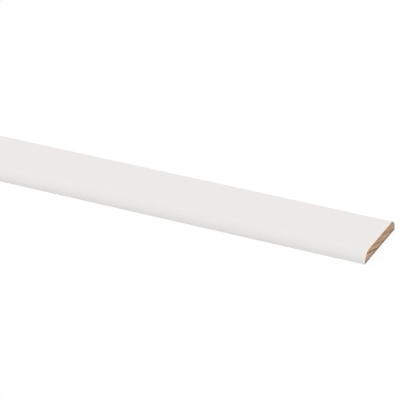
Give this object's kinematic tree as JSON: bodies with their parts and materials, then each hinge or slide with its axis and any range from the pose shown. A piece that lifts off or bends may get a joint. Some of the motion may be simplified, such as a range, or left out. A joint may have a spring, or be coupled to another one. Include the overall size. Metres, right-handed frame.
{
  "type": "cover moulding",
  "caption": "Flat cover moulding in pine with a plain back and both front edges rounded, painted white on the face and edges, with bare sawn ends.",
  "frame": {"origin": "middle of the back face, which the moulding lies on: half way along the length and half way across the width", "axes": "+X along the length, +Y across the width, +Z out of the back, towards the painted front face"},
  "size_m": [2.4, 0.044, 0.007],
  "materials": {
    "white_paint": "satin",
    "bare_pine": "matte"
  },
  "bodies": {
    "root": {"cover_moulding": "white_paint"}
  },
  "joints": []
}
